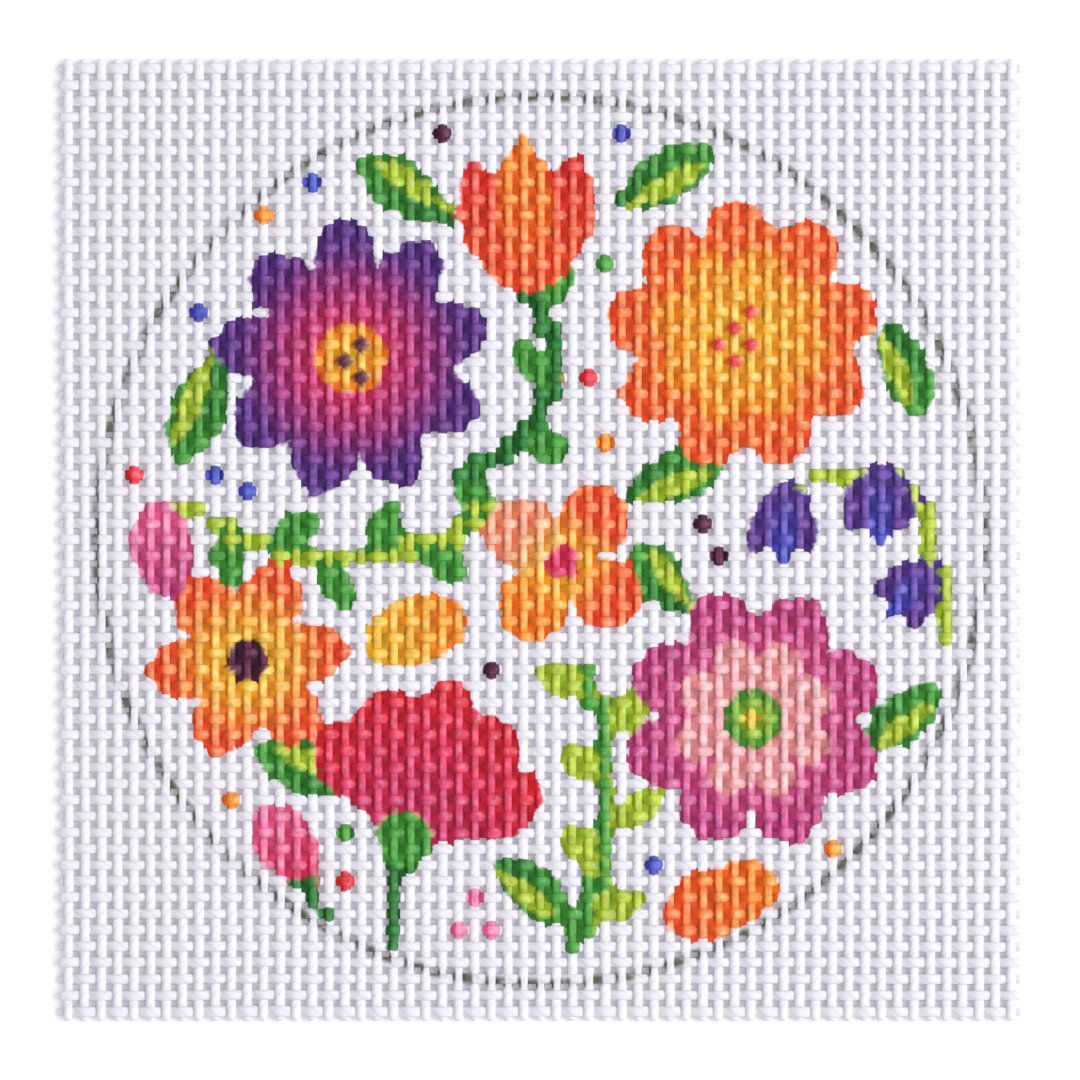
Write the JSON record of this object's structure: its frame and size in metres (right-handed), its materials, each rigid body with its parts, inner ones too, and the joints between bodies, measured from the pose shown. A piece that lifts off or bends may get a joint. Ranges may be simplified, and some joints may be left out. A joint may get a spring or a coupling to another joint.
{
  "type": "needlepoint canvas panel",
  "caption": "Square of open-weave cotton needlepoint canvas with a painted round floral design, lying flat.",
  "frame": {"origin": "middle of the panel's underside, where it rests on the surface", "axes": "+X across the panel along the weft threads, +Y up the design along the warp threads, +Z out of the painted side"},
  "size_m": [0.0834, 0.0834, 0.001],
  "materials": {
    "canvas": "sized white cotton threads in an open plain weave, hand painted, matte"
  },
  "bodies": {
    "root": {"canvas": "canvas"}
  },
  "joints": []
}
